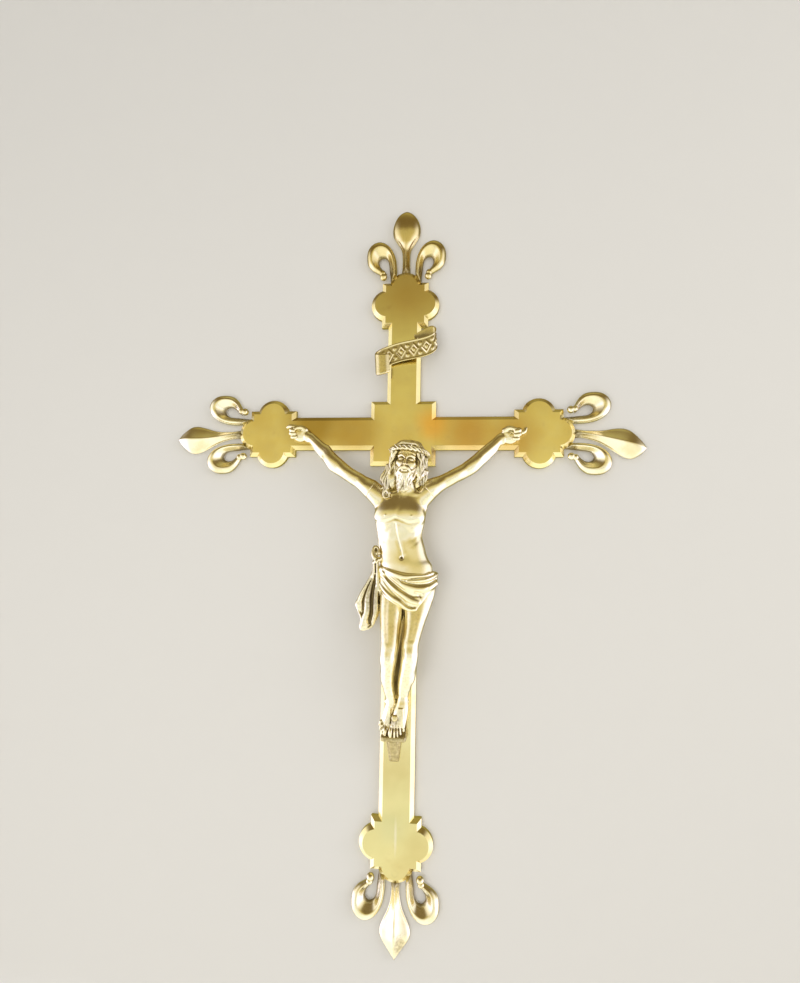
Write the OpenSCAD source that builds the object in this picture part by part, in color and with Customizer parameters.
// Brass cross with fleur-de-lis ends, a scroll over the crossing and a cast corpus.
//
// The cross is drawn as it lies on a bench, seen from the front: x runs to the viewer's
// right, y runs up the cross and z is the height above its flat back. stand() then turns
// it upright. The origin is the centre of the crossing on the flat back.

/* [Cross bars] */
// Width of the upright and of the crossbar
bar_w = 24; // [20:0.5:26]
// Thickness of the bars and the end plates
plate_t = 6; // [5:0.5:8]
// Width of the bevel round every front edge
bevel = 2.8; // [1:0.1:3]
// Side of the square plate at the crossing
crossing_w = 47; // [36:1:60]
// Crossing to the centre of the top plate
head_reach = 96; // [90:1:110]
// Crossing to the centre of either side plate
arm_reach = 96; // [90:1:110]
// Crossing to the centre of the bottom plate
foot_reach = 279; // [260:1:320]

/* [End plates] */
// Side of the square behind the four lobes of an end plate
barb_w = 34; // [32:1:36]
// Radius of a lobe
lobe_r = 12; // [11:0.5:13]
// Plate centre to the centre of a lobe
lobe_out = 13; // [12:0.5:14]

/* [Finials] */
// Plate centre to the tip of a finial
finial_reach = 73; // [68:1:80]
// Widest width of the middle bud
bud_w = 20.6; // [16:0.2:24]
// Height of the bud's ridge above the back
bud_crest = 8; // [6:0.5:10]
// Height of a volute's crest above the back
volute_crest = 6.8; // [5:0.2:8]
// Radius of the ball that ends a volute
ball_r = 2.7; // [2:0.1:3]
// How far the left bud hangs below its axis
left_droop = 4.2; // [0:0.1:8]
// How far the right bud hangs below its axis
right_droop = 10.7; // [0:0.1:12]

/* [Scroll] */
// Thickness of the scroll's band
scroll_t = 1.8; // [1.4:0.1:2.4]
// Slope of the scroll across the upright, in degrees
scroll_tilt = 4; // [0:1:12]

/* [Footrest] */
// Width of the footrest board
rest_w = 17; // [14:0.5:20]
// How far the board stands out from the back of the cross
rest_out = 16.2; // [14:0.2:18]

/* [Fixings] */
// Thickness of a finial's tongue and of the crossbar where it passes the upright
tongue_t = 2.5; // [2:0.1:3]
// Radius of the rivets in the plates and the crossing
rivet_r = 2; // [1.5:0.1:2.5]
// Radius of a nail's shank
nail_r = 1.1; // [1:0.05:1.4]
// Radius of a nail's head
nail_head_r = 2.1; // [1.8:0.1:2.6]
// Width of a nail's nut across the flats
nut_af = 4; // [3.8:0.1:4.4]
// Thickness of a nail's nut
nut_t = 1.6; // [1.2:0.1:1.8]
// Thickness of the washer under a nut
washer_t = 0.4; // [0.3:0.1:0.5]
// Radius of the two tapped holes for a bracket
bracket_r = 2.5; // [2:0.25:3]
// Distance between the two tapped holes
bracket_pitch = 40; // [30:2:44]

/* [Hidden] */
$fn = 64;

fit = 0.05;           // gap between pieces that are fitted by hand
cut = 1;              // how far a cutter runs past the face that it cuts
far = 120;            // longer than anything that a cutter has to clear
edge_t = plate_t - bevel;
brass = [0.78, 0.62, 0.27];
dark_brass = [0.62, 0.48, 0.20];
steel = [0.70, 0.70, 0.68];

rivet_out = 18;       // plate centre to a finial's rivet
crossing_rivet = [-5.9, 2.7];
underside = 0.8;      // how far the cast ornament clears the plane of the back

// Where the nails go through the bars, and how far each head stands out from the back
left_nail = [-75.5, -0.5];
right_nail = [76.5, -3.2];
foot_nail_at = [-0.5, -194];
hand_nail_out = 11.4;
foot_nail_out = 19.6;
sink_r = 3.4;         // counterbore for a nut and its washer
sink_t = 2.6;

rest_at = [-1.8, -207];
bracket_at = [0, -250];
bracket_deep = 4.2;

// ---------------------------------------------------------------- shapes that repeat

module stand() rotate([90, 0, 0]) children();

// Blended forms that belong to one casting, taken together as a single skin
module casting() resize([0, 0, 0]) union() children();

function unit(v) = v / norm(v);
function place(s) = [s[0], s[1], s[2]];

// The direction of a path at each of its stations
function headings(path) = let (last = len(path) - 1)
    [for (i = [0:last]) unit(place(path[min(i + 1, last)]) - place(path[max(i - 1, 0)]))];

// Sections along a path. A station is [x, y, z, half width, half height], and a section is
// a loop of points from -1 to 1. Its width lies along `across`, or level where none is given.
function sections(path, loop, across) =
    let (heading = headings(path))
    [for (i = [0:len(path) - 1])
        let (side = is_undef(across) ? unit(cross(heading[i], [0, 0, 1])) : across,
             rise = unit(cross(side, heading[i])))
        [for (q = loop)
            place(path[i]) + path[i][3] * q[0] * side + path[i][4] * q[1] * rise]];

// A closed solid through loops that all have the same number of points
module skin(loops) {
    n = len(loops[0]);
    last = len(loops) - 1;
    walls = [for (i = [0:last - 1], k = [0:n - 1])
        let (a = i * n + k, b = i * n + (k + 1) % n)
        each [[a, b, b + n], [a, b + n, a + n]]];
    polyhedron(
        [for (loop = loops) each loop],
        concat([[for (k = [n - 1:-1:0]) k]], walls, [[for (k = [0:n - 1]) last * n + k]]),
        convexity = 6);
}

module sweep(path, loop, across) skin(sections(path, loop, across));

// An oval section of n points
function oval(n) = [for (k = [0:n - 1]) [cos(360 * k / n), sin(360 * k / n)]];

// A limb or a lock of hair: an oval swept along its stations
module limb(path, n = 12) sweep(path, oval(n));

// A bar with bevelled front edges, along y from y0 to y1
module bar(y0, y1, w) {
    half = w / 2;
    translate([0, y1, 0]) rotate([90, 0, 0]) linear_extrude(y1 - y0)
        polygon([[-half, 0], [half, 0], [half, edge_t], [half - bevel, plate_t],
                 [bevel - half, plate_t], [-half, edge_t]]);
}

// A square plate with bevelled front edges
module square_plate(w) intersection() {
    bar(-w / 2, w / 2, w);
    rotate(90) bar(-w / 2, w / 2, w);
}

module lobe() {
    cylinder(r = lobe_r, h = edge_t);
    translate([0, 0, edge_t]) cylinder(r1 = lobe_r, r2 = lobe_r - bevel, h = bevel);
}

// The barbed quatrefoil that ends each bar: a square and four lobes
module end_plate() {
    square_plate(barb_w);
    for (a = [0:90:270]) rotate(a) translate([0, lobe_out, 0]) lobe();
}

// The pocket behind the outer lobe, which takes a finial's tongue, and its rivet hole
module finial_seat() {
    intersection() {
        translate([0, lobe_out, -cut]) cylinder(r = lobe_r + 2 * fit, h = tongue_t + cut);
        translate([-barb_w, lobe_out, -2 * cut]) cube([2 * barb_w, barb_w, plate_t]);
    }
    translate([0, rivet_out, -cut]) cylinder(r = rivet_r + fit, h = plate_t + 2 * cut);
}

// Moves a shape from the centre of a plate at the top to one of the four ends
module at_end(turn, reach) rotate(turn) translate([0, reach, 0]) children();

// The hole for a nail, with the counterbore for its nut at the back
module nail_hole(at) translate([at[0], at[1], 0]) {
    translate([0, 0, -cut]) cylinder(r = nail_r + fit, h = plate_t + 2 * cut);
    translate([0, 0, -cut]) cylinder(r = sink_r, h = sink_t + cut);
}

module flush_rivet() cylinder(r = rivet_r, h = plate_t);

// ---------------------------------------------------------------- the two bars

lap_t = 3;            // thickness of the crossbar where it passes behind the upright

module upright() color(brass) stand() difference() {
    union() {
        bar(-foot_reach, head_reach, bar_w);
        square_plate(crossing_w);
        intersection() {
            rotate(90) bar(-crossing_w, crossing_w, bar_w);
            translate([-crossing_w / 2, -bar_w, 0]) cube([crossing_w, 2 * bar_w, plate_t]);
        }
        at_end(0, head_reach) end_plate();
        at_end(180, foot_reach) end_plate();
    }
    translate([-crossing_w, -bar_w / 2 - fit, -cut])
        cube([2 * crossing_w, bar_w + 2 * fit, lap_t + cut]);
    at_end(0, head_reach) finial_seat();
    at_end(180, foot_reach) finial_seat();
    crossing_holes();
    titulus_holes();
    nail_hole(foot_nail_at);
    footrest_hole();
    for (s = [-1, 1]) translate([bracket_at[0], bracket_at[1] + s * bracket_pitch / 2, -cut])
        cylinder(r = bracket_r, h = bracket_deep + cut);
}

module crossbar() color(brass) stand() difference() {
    union() {
        for (s = [-1, 1]) intersection() {
            rotate(90) bar(-arm_reach, arm_reach, bar_w);
            translate([s * (crossing_w / 2 + fit) + (s - 1) * arm_reach / 2, -bar_w, 0])
                cube([arm_reach, 2 * bar_w, plate_t]);
        }
        translate([-crossing_w, -bar_w / 2, 0]) cube([2 * crossing_w, bar_w, lap_t]);
        at_end(90, arm_reach) end_plate();
        at_end(-90, arm_reach) end_plate();
    }
    at_end(90, arm_reach) finial_seat();
    at_end(-90, arm_reach) finial_seat();
    crossing_holes();
    nail_hole(left_nail);
    nail_hole(right_nail);
}

// Two rivets on a diagonal hold the crossbar in the slot of the upright
module crossing_points() for (s = [-1, 1])
    translate([s * crossing_rivet[0], s * crossing_rivet[1], 0]) children();

module crossing_holes() crossing_points()
    translate([0, 0, -cut]) cylinder(r = rivet_r + fit, h = plate_t + 2 * cut);

module crossing_rivets() color(dark_brass) stand() crossing_points() flush_rivet();

// ---------------------------------------------------------------- finials

// The bud's section: two faces meet in a front ridge, a little hollow beside it
roof = [[1, 0.3], [0.5, 0.52], [0.16, 0.84], [0, 1], [-0.16, 0.84], [-0.5, 0.52], [-1, 0.3],
        [-0.55, 0], [0.55, 0]];

// The bud's outline: [share of the way to the tip, share of the width, share of the crest]
round_bud = [[0, 0.34, 0.5], [0.18, 0.27, 0.5], [0.35, 0.29, 0.52], [0.44, 0.4, 0.58],
             [0.53, 0.68, 0.72], [0.62, 0.93, 0.9], [0.71, 1, 1], [0.8, 0.95, 0.94],
             [0.88, 0.81, 0.82], [0.94, 0.59, 0.66], [0.98, 0.33, 0.46], [1, 0.04, 0.3]];
spear_bud = [[0, 0.34, 0.5], [0.15, 0.27, 0.5], [0.27, 0.32, 0.52], [0.38, 0.45, 0.6],
             [0.48, 0.67, 0.74], [0.58, 0.9, 0.92], [0.66, 1, 1], [0.73, 0.96, 0.98],
             [0.8, 0.77, 0.86], [0.88, 0.48, 0.68], [0.96, 0.19, 0.46], [1, 0.03, 0.3]];
leaf_bud = [[0, 0.34, 0.5], [0.15, 0.27, 0.5], [0.27, 0.32, 0.52], [0.38, 0.42, 0.6],
            [0.48, 0.59, 0.7], [0.58, 0.8, 0.86], [0.67, 0.95, 0.97], [0.74, 1, 1],
            [0.81, 0.94, 0.96], [0.88, 0.71, 0.84], [0.95, 0.38, 0.62], [1, 0.04, 0.3]];

stem_root = 22;       // plate centre to the root of the stem, under the lobe's edge
left_bend = 0.75;     // share of its length over which the left bud leaves its axis
right_bend = 1.3;     // the same for the right bud, whose bend runs on past its tip

module bud(outline, bend, over) {
    reach = finial_reach - stem_root;
    sweep([for (s = outline)
        [bend * pow(sin(min(90, 90 * s[0] / over)), 2), stem_root + reach * s[0], underside,
         bud_w / 2 * s[1], (bud_crest - underside) * s[2]]], roof, [1, 0, 0]);
}

// The volute's section, from its inner rim (-1) to its outer rim (1): round outside with
// a crest, then falling away in a hollow to the inner rim
gutter = [[-0.6, 0], [0.85, 0], [1, 0.25], [0.86, 0.62], [0.52, 0.92], [0.16, 1],
          [-0.22, 0.76], [-0.62, 0.42], [-1, 0.2]];

// The volute's stations: [outer x, outer y, inner x, inner y, share of the crest],
// measured from the plate centre
volute_rims = [
    [7.4, 17, 11.2, 17, 0.7], [7, 23, 11.7, 22.4, 0.72], [6.9, 29, 12.3, 27.4, 0.74],
    [7.6, 35.4, 12.6, 31, 0.78], [9.4, 41.2, 13.2, 34.2, 0.84], [12.4, 45.9, 14.4, 36.2, 0.92],
    [16.5, 48.9, 16, 37.2, 1], [21, 49.8, 17.7, 37.4, 1], [25.6, 47.8, 19.1, 36.6, 1],
    [28.7, 43.4, 20, 35, 0.98], [29.4, 37.6, 20.2, 33.2, 0.94], [28.4, 32, 19.7, 31.4, 0.86],
    [25.2, 28, 18.6, 29.7, 0.76], [21.4, 25.6, 17, 28, 0.66], [18.9, 24.2, 15.8, 26.6, 0.58],
    [17.4, 22.8, 14.4, 25, 0.5]];
ball_at = [16.6, 22.2, 3.4];

function volute_loop(r) =
    let (outer = [r[0], r[1], underside], inner = [r[2], r[3], underside],
         middle = (outer + inner) / 2, reach = (outer - inner) / 2)
    [for (q = gutter) middle + q[0] * reach
        + [0, 0, (volute_crest - underside) * r[4] * q[1]]];

module volute() {
    skin([for (i = [len(volute_rims) - 1:-1:0]) volute_loop(volute_rims[i])]);
    translate(ball_at) sphere(r = ball_r, $fn = 14);
}

// The tongue: half of the outer lobe's disc, let into the pocket at its back
module tongue() intersection() {
    translate([0, lobe_out, 0]) cylinder(r = lobe_r, h = tongue_t);
    translate([-barb_w, lobe_out + fit, -cut]) cube([2 * barb_w, barb_w, plate_t]);
}

// A finial, drawn for the top of the cross about the centre of its plate
module finial(outline, bend = 0, over = left_bend) difference() {
    union() {
        difference() {
            casting() {
                bud(outline, bend, over);
                volute();
                mirror([1, 0, 0]) volute();
            }
            translate([0, lobe_out, tongue_t]) cylinder(r = lobe_r + fit, h = 2 * plate_t);
            translate([-barb_w / 2, -barb_w / 2, -cut])
                cube([barb_w, barb_w + fit, 2 * plate_t]);
        }
        tongue();
    }
    translate([0, rivet_out, -cut]) cylinder(r = rivet_r + fit, h = tongue_t + 2 * cut);
}

module finial_top() color(brass) stand() at_end(0, head_reach) finial(round_bud);
module finial_left() color(brass) stand() at_end(90, arm_reach) finial(leaf_bud, -left_droop);
module finial_right() color(brass) stand() at_end(-90, arm_reach)
    finial(leaf_bud, right_droop / pow(sin(90 / right_bend), 2), right_bend);
module finial_bottom() color(brass) stand() at_end(180, foot_reach) finial(spear_bud);

module finial_rivets() color(dark_brass) stand() {
    at_end(0, head_reach + rivet_out) flush_rivet();
    at_end(180, foot_reach + rivet_out) flush_rivet();
    for (turn = [90, -90]) at_end(turn, arm_reach + rivet_out) flush_rivet();
}

// ---------------------------------------------------------------- titulus scroll

// The scroll's section: a band with a raised rim along both edges
rimmed = [[-1, -1], [1, -1], [1, 1.5], [0.84, 1.5], [0.78, 0.6], [-0.78, 0.6], [-0.84, 1.5],
          [-1, 1.5]];

// The scroll's path: [x, y, z, half height of the band]. It starts at the free edge of the
// left curl, goes round behind, crosses the upright, and folds back to the tail.
scroll_path = [
    [-9.6, 49, 14.6, 6.9], [-12.6, 47.9, 16.4, 7.4], [-16.2, 47.4, 16.4, 7.9],
    [-18.9, 47.9, 14.4, 8.1], [-19.5, 49.6, 11.6, 8], [-17, 52.4, 9.6, 7.8],
    [-12.8, 54.8, 9, 7.5], [-7.4, 56.9, 9.2, 7.3], [-1, 58.4, 10, 7.2], [6, 59.4, 11, 7.2],
    [12.6, 60.3, 12.2, 7.2], [18, 61.6, 13, 7.1], [21.8, 63.6, 12.8, 7],
    [23.3, 66.6, 10.8, 6.8], [22.2, 69.8, 8.9, 6.4], [19.2, 71.4, 8, 5.4],
    [15.2, 71.6, 7.7, 3.9], [11.2, 71.2, 7.5, 2.5], [7.4, 70.8, 7.3, 1]];
scroll_pins = [[-5, 57.5], [5, 60.2]];
pin_r = 1.2;
boss_r = 2.4;
boss_h = 4;
pin_out = 8.9;        // the scroll's pins end in blind holes at this height

module titulus() color(dark_brass) stand() difference() {
    union() {
        casting() sweep([for (s = scroll_path) [s[0], s[1], s[2], s[3], scroll_t / 2]],
                        rimmed, [sin(scroll_tilt), -cos(scroll_tilt), 0]);
        for (p = scroll_pins) translate([p[0], p[1], plate_t])
            cylinder(r = boss_r, h = boss_h);
    }
    for (p = scroll_pins) translate([p[0], p[1], plate_t - cut])
        cylinder(r = pin_r + fit, h = pin_out - plate_t + cut);
}

module titulus_holes() for (p = scroll_pins) translate([p[0], p[1], -cut])
    cylinder(r = pin_r + fit, h = plate_t + 2 * cut);

module titulus_rivets() color(dark_brass) stand()
    for (p = scroll_pins) translate([p[0], p[1], 0]) cylinder(r = pin_r, h = pin_out);

// ---------------------------------------------------------------- corpus

torso = [
    [6, -37, 21.6, 4.6, 4.6], [5.2, -42, 20.8, 6.6, 4.8], [3.6, -45.6, 19.8, 13, 5.2],
    [2.2, -49.3, 19.4, 17.4, 6.4], [1.2, -54.7, 18.8, 18, 8.2], [0.7, -59.2, 18.6, 17.6, 9.7],
    [0.4, -64.6, 18.2, 16.8, 9.3], [0.3, -70.1, 17.8, 15.9, 8.4], [0.3, -76.9, 17.5, 14.8, 7.9],
    [1.9, -83.7, 17.6, 15.2, 8.2], [3.7, -90.4, 18, 16.4, 8.8], [5.4, -96, 18, 17.4, 9],
    [6.2, -104, 18, 17.6, 9], [5.6, -112, 17.6, 16, 8.4], [5, -120, 17.4, 13, 7]];
loincloth = [
    [4.6, -95, 18.2, 17.8, 9.9], [5.8, -98.6, 18.4, 19.2, 10.7], [6.9, -103.8, 18.4, 19.9, 11],
    [6.4, -110.5, 18.2, 18.9, 10.6], [6.4, -116, 18, 17.4, 9.8], [7, -121, 17.8, 13, 8.6]];
left_leg = [
    [-2.6, -106, 16.4, 9, 8], [-3.6, -120, 18.2, 8.4, 8.2], [-3.9, -132, 20.6, 7.4, 7.6],
    [-3.8, -143.7, 22.8, 6.3, 6.8], [-4.3, -150, 23.8, 5.8, 6.2], [-4.7, -156.2, 23.8, 5.8, 6],
    [-5.3, -161.9, 22.2, 5, 5.4], [-5.8, -168.9, 19.6, 4.2, 5.2], [-5.4, -175.9, 17, 3.6, 4.4],
    [-3.9, -182.7, 14.6, 3.3, 3.6], [-3.2, -187, 13.8, 3.6, 3.8]];
right_leg = [
    [13.6, -104, 16.2, 11.8, 8.2], [13.6, -112, 16.6, 11.4, 8.2], [13.2, -120, 18, 9.6, 8.2],
    [11.9, -131, 20.3, 7.1, 7.7], [10.6, -139.4, 22.4, 5.6, 6.8], [9.4, -146.2, 23.8, 5.4, 6.2],
    [9.3, -153.2, 24.4, 5.7, 6], [7.9, -161.4, 22.8, 5.5, 5.6], [6.2, -169.8, 19.8, 5, 5.4],
    [5, -176.7, 17.2, 4.2, 4.6], [4.4, -182.1, 15.6, 3.5, 3.8], [3.8, -187, 15.4, 3.6, 3.8]];
left_foot = [
    [-3.8, -181, 14.6, 3.2, 3.6], [-4, -186, 13.2, 3.4, 3.5], [-4.8, -192, 12.2, 4.4, 3.2],
    [-5.6, -198, 12.6, 5, 2.6], [-7, -203, 13.4, 4.9, 1.8], [-7.8, -206.4, 14, 3.4, 1]];
right_foot = [
    [4.6, -180, 16, 3.3, 3.6], [4.4, -185, 16.2, 3.8, 3.7], [3.4, -190, 16.6, 4.6, 3.6],
    [2, -196, 16.8, 5, 3.1], [0.8, -201, 16.5, 5.2, 2.2], [0.2, -206.4, 16.6, 4.4, 1.2]];

// The head: hair, the oval of the face, the beard and the nose
hair = [
    [7.4, -10, 24.6, 3.4, 3.2], [7.4, -12, 24.6, 8, 7.4], [7, -16.8, 24.6, 11.6, 10.4],
    [6.6, -21.6, 24.4, 13.2, 11.2], [6.2, -27, 23.6, 13.6, 10.6], [6, -33, 22.6, 11.4, 8.8],
    [6, -39, 21.6, 8, 6]];
face = [
    [6.6, -16, 30.4, 4.6, 3], [6.2, -19, 31.2, 6.4, 4.4], [5.6, -24, 31.6, 7, 5],
    [5, -30, 31.4, 6.4, 4.8], [4.4, -35, 30.8, 4.8, 4]];
nose = [[5.9, -21.4, 35.4, 0.9, 0.8], [5.5, -24.6, 36.8, 1.1, 1.2], [5.1, -27.4, 36.6, 1.7, 1.2]];
beard = [
    [4.9, -28.6, 31.4, 6.8, 4.6], [4.4, -33, 32.2, 7, 4.6], [3.8, -38.4, 31.8, 6.2, 4.2],
    [3, -43, 30.4, 4.4, 3.2], [2.4, -46.2, 29.2, 2, 1.8]];
left_lock = [
    [-4.4, -26, 27.6, 3, 3.4], [-8.2, -33, 28, 3, 3], [-10.8, -38, 28, 3, 2.8],
    [-10.8, -43, 27.6, 2.8, 2.6], [-11.2, -47.4, 27, 1.2, 1.2]];
right_lock = [
    [16.6, -24, 25, 3.4, 5], [18, -30, 24.4, 2.8, 4.6], [17, -36.6, 24, 2, 3],
    [16, -39.4, 23.6, 0.8, 1.2]];

// Folds of the loincloth, each a roll that runs from the left hip across the body
folds = [
    [[-12, -94.6, 20.4, 2, 2], [-6, -97.6, 26, 2, 2], [4, -100.4, 28.4, 2.1, 2],
     [14, -101, 27, 2.1, 2], [22, -98.6, 22.4, 2.2, 2.2], [25, -97.4, 18, 2, 2]],
    [[-12, -98, 20.4, 1.8, 2], [-4, -103.6, 27, 1.8, 1.8], [6, -107.6, 28.8, 1.9, 1.8],
     [16, -107.8, 27, 2, 1.8], [24, -104.4, 21.6, 2, 2]],
    [[-12, -102, 20, 1.8, 1.8], [-5, -109.6, 26.4, 1.8, 1.6], [4, -114.8, 28, 1.8, 1.6],
     [14, -117, 26, 1.8, 1.6]]];

// The knot at the left hip and the end of the cloth that hangs from it
knot = [
    [-14.6, -80.4, 20.6, 1.2, 1.6], [-16.2, -83, 21, 2.4, 2.4], [-15.6, -87.4, 21.6, 2.3, 2.4],
    [-14.2, -91, 21.4, 2.2, 2.4], [-14, -97, 20.6, 2.2, 2.6], [-14.2, -104, 19.6, 2.2, 2.4]];
drape = [
    [-14.4, -93, 19.4, 2.2, 3], [-15.8, -101, 18, 3.4, 3.2], [-18, -109, 17, 5.8, 3.4],
    [-19.8, -117, 16.4, 8, 3.4], [-20.4, -122, 16.2, 8.2, 3.4], [-19.8, -127, 16, 6.4, 3],
    [-21, -133, 16, 4.6, 2.4], [-23.6, -138.2, 16, 1.8, 1.4]];

// The crown: two strands wound round each other about the brow
crown_at = [6.9, -17.6, 26];
crown_r = [13.2, 11.8];
crown_wave = 1.1;
strand_r = 1;
strand_turns = 6;

module strand(phase) {
    points = 30;
    ring = [for (i = [0:points - 1]) let (a = 360 * i / points, w = strand_turns * a + phase)
        [(crown_r[0] + crown_wave * cos(w)) * cos(a), crown_wave * sin(w),
         (crown_r[1] + crown_wave * cos(w)) * sin(a)]];
    loops = [for (i = [0:points - 1])
        let (out = unit([ring[i][0], 0, ring[i][2]]))
        [for (q = oval(5)) ring[i] + strand_r * (q[0] * out + q[1] * [0, 1, 0])]];
    n = len(loops[0]);
    polyhedron(
        [for (loop = loops) each loop],
        [for (i = [0:points - 1], k = [0:n - 1])
            let (a = i * n + k, b = i * n + (k + 1) % n, ahead = n * points)
            each [[a, (a + n) % ahead, (b + n) % ahead], [a, (b + n) % ahead, b]]],
        convexity = 6);
}

module head() {
    limb(hair, 16);
    limb(face, 12);
    limb(nose, 6);
    limb(beard, 12);
    limb(left_lock, 8);
    limb(right_lock, 8);
    translate(crown_at) rotate([12, 0, -13]) { strand(0); strand(180); }
}

// The seams where the arms meet the shoulders: a point on each, and its slope in degrees
left_seam = [[-21.4, -46], -31];
right_seam = [[24.4, -48.8], 40.5];

// Everything on the outer side of a seam; s is -1 at the left and 1 at the right
module beyond(seam, s, gap = 0) translate([seam[0][0], seam[0][1], 0]) rotate(seam[1])
    translate([s > 0 ? gap : -far - gap, -far / 2, 0]) cube(far);

left_arm = [
    [-8, -50, 20, 9, 7.4], [-14, -47, 20, 8.6, 7.2], [-19, -43.8, 19.8, 7.2, 6.4],
    [-23.6, -40.4, 19.4, 5.8, 5.6], [-28.9, -36.3, 18.6, 5, 5.2], [-35.2, -32, 17.4, 4.8, 5],
    [-42.1, -27, 16, 5.4, 5], [-48.4, -22.1, 14.8, 5.8, 5], [-53, -17.3, 13.6, 5.3, 4.6],
    [-57.3, -13.5, 12.4, 4.8, 4], [-61.7, -9.2, 11.4, 4.1, 3.4], [-65.6, -5.2, 10.6, 3.9, 3],
    [-69.6, -2.6, 9.8, 4.6, 2.8], [-74, -0.8, 9, 5.8, 2.4], [-77.6, 0.6, 8.6, 5.4, 2]];
right_arm = [
    [10, -50, 20, 9, 7.4], [16, -46.6, 20, 8.6, 7.2], [21.4, -43, 19.8, 7, 6.4],
    [26, -39.7, 19.4, 5.6, 5.6], [31.5, -36.2, 18.6, 4.8, 5.2], [37.4, -32.6, 17.4, 4.7, 5],
    [43.5, -29.1, 16, 4.9, 5], [50, -24.4, 14.8, 5, 5], [55.4, -19.6, 13.6, 4.9, 4.6],
    [59.9, -15.4, 12.4, 4.8, 4], [64.2, -11.2, 11.4, 4.4, 3.4], [68.5, -6.6, 10.6, 4.2, 3],
    [71.4, -4.6, 9.8, 4.8, 2.8], [75.4, -2.8, 9, 5.8, 2.4], [79, -1.6, 8.6, 5.2, 2]];

// Fingers curl over the palm; each runs from its knuckle to its tip
left_fingers = [
    [[-76.4, 3.4, 9, 1.5, 1.4], [-80.6, 5.4, 9.4, 1.4, 1.3], [-85.4, 5, 10, 1, 1]],
    [[-77.4, 1.6, 9, 1.5, 1.4], [-81.2, 2.4, 10.4, 1.4, 1.3], [-80.8, 1.8, 12.6, 1.2, 1]],
    [[-77.4, -0.8, 9, 1.5, 1.4], [-81, -0.6, 10.2, 1.4, 1.3], [-80.4, -1.2, 12.2, 1.2, 1]],
    [[-76.6, -3, 9, 1.4, 1.4], [-79.8, -3.6, 9.8, 1.3, 1.2], [-79, -4, 11.6, 1.1, 1]],
    [[-70, 1.4, 10.6, 1.7, 1.5], [-73.6, 4.2, 11.4, 1.5, 1.4], [-78, 4.6, 12, 1.1, 1.1]]];
right_fingers = [
    [[78.4, 1.8, 9, 1.5, 1.4], [82.2, 2.6, 9.2, 1.4, 1.3], [87.6, 3, 9.6, 1, 1]],
    [[79, -0.2, 9, 1.5, 1.4], [82.8, -0.6, 10.2, 1.4, 1.3], [82.4, -1, 12.4, 1.2, 1]],
    [[79, -2.6, 9, 1.5, 1.4], [82.4, -3.2, 10.2, 1.4, 1.3], [81.8, -3.4, 12.2, 1.2, 1]],
    [[78, -5, 9, 1.4, 1.4], [81, -6, 9.8, 1.3, 1.2], [80.2, -6, 11.6, 1.1, 1]],
    [[71.6, -1, 10.6, 1.7, 1.5], [74.8, 1.2, 11.4, 1.5, 1.4], [79, 0.8, 12, 1.1, 1.1]]];

module nail_bore(at) translate([at[0], at[1], 0]) cylinder(r = nail_r + fit, h = far);

// A seat for a nail's head, sunk in the cast hand or foot
module nail_seat(at, out) translate([at[0], at[1], out]) cylinder(r = nail_head_r + fit, h = far);

module corpus_body() color(brass) stand() difference() {
    casting() {
        limb(torso, 20);
        limb(loincloth, 20);
        limb(left_leg, 14);
        limb(right_leg, 14);
        limb(left_foot, 10);
        limb(right_foot, 10);
        for (f = folds) limb(f, 8);
        limb(knot, 8);
        limb(drape, 10);
        head();
        difference() {
            limb([for (i = [0:4]) left_arm[i]], 12);
            beyond(left_seam, -1);
        }
        difference() {
            limb([for (i = [0:4]) right_arm[i]], 12);
            beyond(right_seam, 1);
        }
    }
    nail_bore(foot_nail_at);
    nail_seat(foot_nail_at, foot_nail_out);
}

module arm(path, fingers, seam, s, nail) difference() {
    casting() {
        intersection() {
            limb(path, 12);
            beyond(seam, s, fit);
        }
        for (f = fingers) sweep(f, oval(8), [0, 1, 0]);
    }
    nail_bore(nail);
    nail_seat(nail, hand_nail_out);
}

module corpus_arm_left() color(brass) stand()
    arm(left_arm, left_fingers, left_seam, -1, left_nail);
module corpus_arm_right() color(brass) stand()
    arm(right_arm, right_fingers, right_seam, 1, right_nail);

// ---------------------------------------------------------------- nails, nuts and washers

nail_end = 0.4;       // how far a nail's threaded end stays inside the counterbore
nail_head_t = 1;
washer_r = 3;

// A nail's domed head sits at `out`, above the surface that it holds
module nail(at, out) translate([at[0], at[1], 0]) {
    translate([0, 0, nail_end]) cylinder(r = nail_r, h = out);
    translate([0, 0, out])
        cylinder(r1 = nail_head_r, r2 = nail_head_r * 0.6, h = nail_head_t);
}

module hand_nails() color(dark_brass) stand() {
    nail(left_nail, hand_nail_out);
    nail(right_nail, hand_nail_out);
}

module foot_nail() color(dark_brass) stand() nail(foot_nail_at, foot_nail_out);

module each_nail() for (at = [left_nail, right_nail, foot_nail_at])
    translate([at[0], at[1], 0]) children();

module nail_washers() color(steel) stand() each_nail()
    translate([0, 0, sink_t - washer_t]) difference() {
        cylinder(r = washer_r, h = washer_t);
        translate([0, 0, -cut]) cylinder(r = nail_r + fit, h = 2 * cut + washer_t);
    }

module nail_nuts() color(steel) stand() each_nail()
    translate([0, 0, sink_t - washer_t - nut_t]) difference() {
        cylinder(r = nut_af / 2 / cos(30), h = nut_t, $fn = 6);
        translate([0, 0, -cut]) cylinder(r = nail_r + fit, h = 2 * cut + nut_t);
    }

// ---------------------------------------------------------------- footrest

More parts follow.
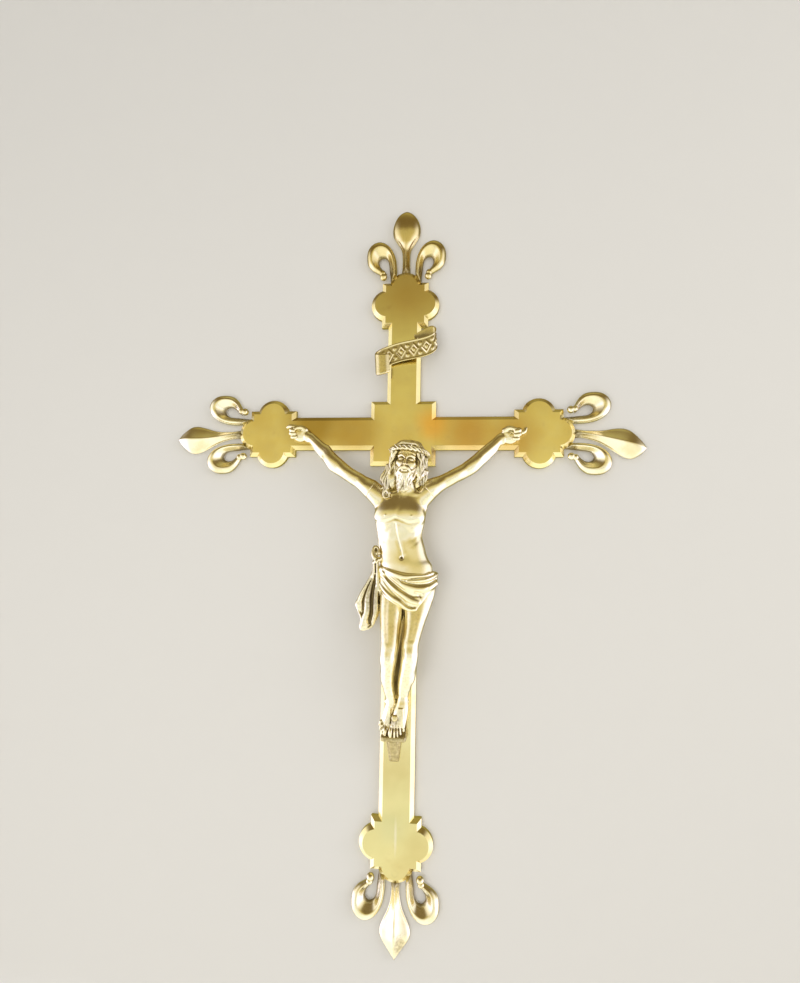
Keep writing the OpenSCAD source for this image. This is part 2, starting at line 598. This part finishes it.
screw_r = 1.5;
screw_head_r = 2.9;
screw_deep = 10.6;    // how far the screw reaches from the back
screw_drop = 5.4;     // the screw enters this far below the board's front edge
screw_sink = 1.5;     // depth of the countersink

rest_edge = -3.6;     // underside of the board, measured from rest_at
corbel_end = -18.4;   // lower end of the corbel, measured from rest_at
corbel_top_w = 9.6;
corbel_foot_w = 6.6;

// The board's side view, as [distance from the back, height about rest_at]
board_side = [[plate_t, 6.8], [rest_out, -0.2], [rest_out, rest_edge], [plate_t, rest_edge]];
// The corbel under it, tapering down and back
corbel_side = [[plate_t, rest_edge], [rest_out - 2, rest_edge], [8, corbel_end],
               [plate_t, corbel_end]];

module side_view(outline, w) translate([-w / 2, 0, 0]) rotate([0, -90, 0]) mirror([0, 0, 1])
    linear_extrude(w) polygon(outline);

module footrest() color(dark_brass) stand() translate([rest_at[0], rest_at[1], 0])
    difference() {
        union() {
            side_view(board_side, rest_w);
            intersection() {
                side_view(corbel_side, rest_w);
                linear_extrude(rest_out) polygon([
                    [-corbel_top_w / 2, rest_edge], [corbel_top_w / 2, rest_edge],
                    [corbel_foot_w / 2, corbel_end], [-corbel_foot_w / 2, corbel_end]]);
            }
        }
        translate([0, -screw_drop, plate_t - cut])
            cylinder(r = screw_r + fit, h = screw_deep - plate_t + 2 * fit + cut);
    }

module footrest_hole() translate([rest_at[0], rest_at[1] - screw_drop, -cut]) {
    cylinder(r = screw_r + fit, h = plate_t + 2 * cut);
    translate([0, 0, cut])
        cylinder(r1 = screw_head_r + fit, r2 = screw_r + fit, h = screw_sink);
    cylinder(r = screw_head_r + fit, h = cut);
}

module footrest_screw() color(steel) stand()
    translate([rest_at[0], rest_at[1] - screw_drop, 0]) {
        cylinder(r = screw_r, h = screw_deep);
        cylinder(r1 = screw_head_r, r2 = screw_r, h = screw_sink);
    }

// ---------------------------------------------------------------- nodes

upright();
crossbar();
crossing_rivets();
finial_top();
finial_left();
finial_right();
finial_bottom();
finial_rivets();
titulus();
titulus_rivets();
corpus_body();
corpus_arm_left();
corpus_arm_right();
hand_nails();
foot_nail();
nail_washers();
nail_nuts();
footrest();
footrest_screw();
